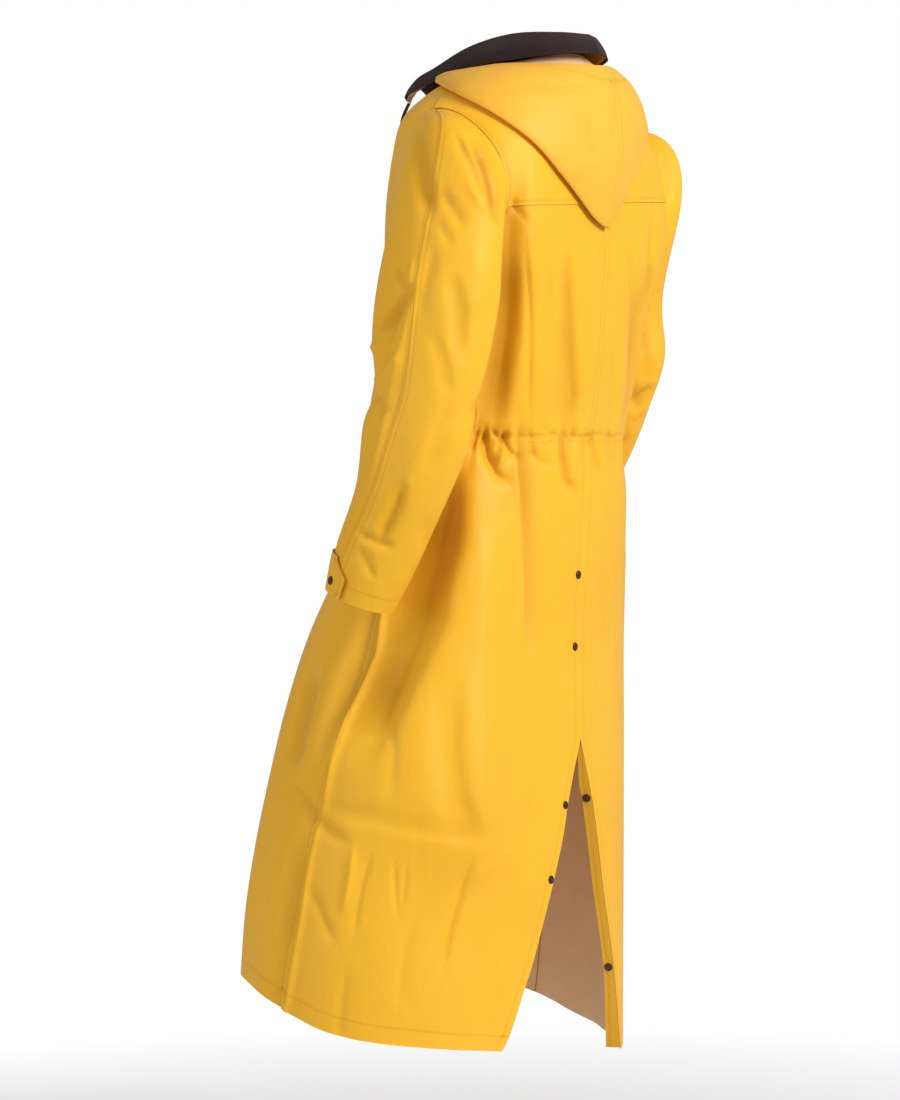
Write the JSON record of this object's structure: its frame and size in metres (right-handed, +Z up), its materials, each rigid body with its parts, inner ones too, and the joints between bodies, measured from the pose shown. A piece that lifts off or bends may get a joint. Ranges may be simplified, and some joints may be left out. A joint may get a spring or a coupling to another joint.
{
  "type": "duster coat",
  "caption": "Long hooded rain duster worn open at the hem: fold-down collar, hood down the back, yoke, gathered waist, back vent with snaps",
  "frame": {"origin": "middle of the neck, level with the neck seam at the side: the place where a neck and shoulders hold the coat when it is worn", "axes": "+Z up, -Y the front, +X the left side as worn"},
  "size_m": [0.7417, 0.4565, 1.3219],
  "materials": {
    "coated_cloth": "smooth coated cloth, soft satin",
    "hood_cloth": "smooth coated cloth, soft satin, pale inside",
    "collar_cord_cloth": "fine ribbed cord, matt",
    "neck_cord_braid": "braided cord, matt",
    "snap_cap": "pressed cap, dark brown, satin"
  },
  "bodies": {
    "root": {"back_yoke": "coated_cloth", "bodice_back_left": "coated_cloth", "bodice_back_right": "coated_cloth", "bodice_front_left": "coated_cloth", "bodice_front_right": "coated_cloth", "collar": "collar_cord_cloth", "cuff_tab_left": "coated_cloth", "cuff_tab_right": "coated_cloth", "front_fly": "coated_cloth", "hood_left": "hood_cloth", "hood_right": "hood_cloth", "neck_cord": "neck_cord_braid", "skirt_back_left": "coated_cloth", "skirt_back_right": "coated_cloth", "skirt_front_left": "coated_cloth", "skirt_front_right": "coated_cloth", "sleeve_left_back": "coated_cloth", "sleeve_left_front": "coated_cloth", "sleeve_right_back": "coated_cloth", "sleeve_right_front": "coated_cloth", "snap_back_closed_lower": "snap_cap", "snap_back_closed_upper": "snap_cap", "snap_cuff_left": "snap_cap", "snap_cuff_right": "snap_cap", "snap_front_1": "snap_cap", "snap_front_2": "snap_cap", "snap_front_3": "snap_cap", "snap_front_4": "snap_cap", "snap_front_5": "snap_cap", "snap_front_6": "snap_cap", "snap_vent_left_lower": "snap_cap", "snap_vent_left_upper": "snap_cap", "snap_vent_right_lower": "snap_cap", "snap_vent_right_upper": "snap_cap", "under_collar": "coated_cloth", "vent_underlap": "coated_cloth"}
  },
  "joints": []
}
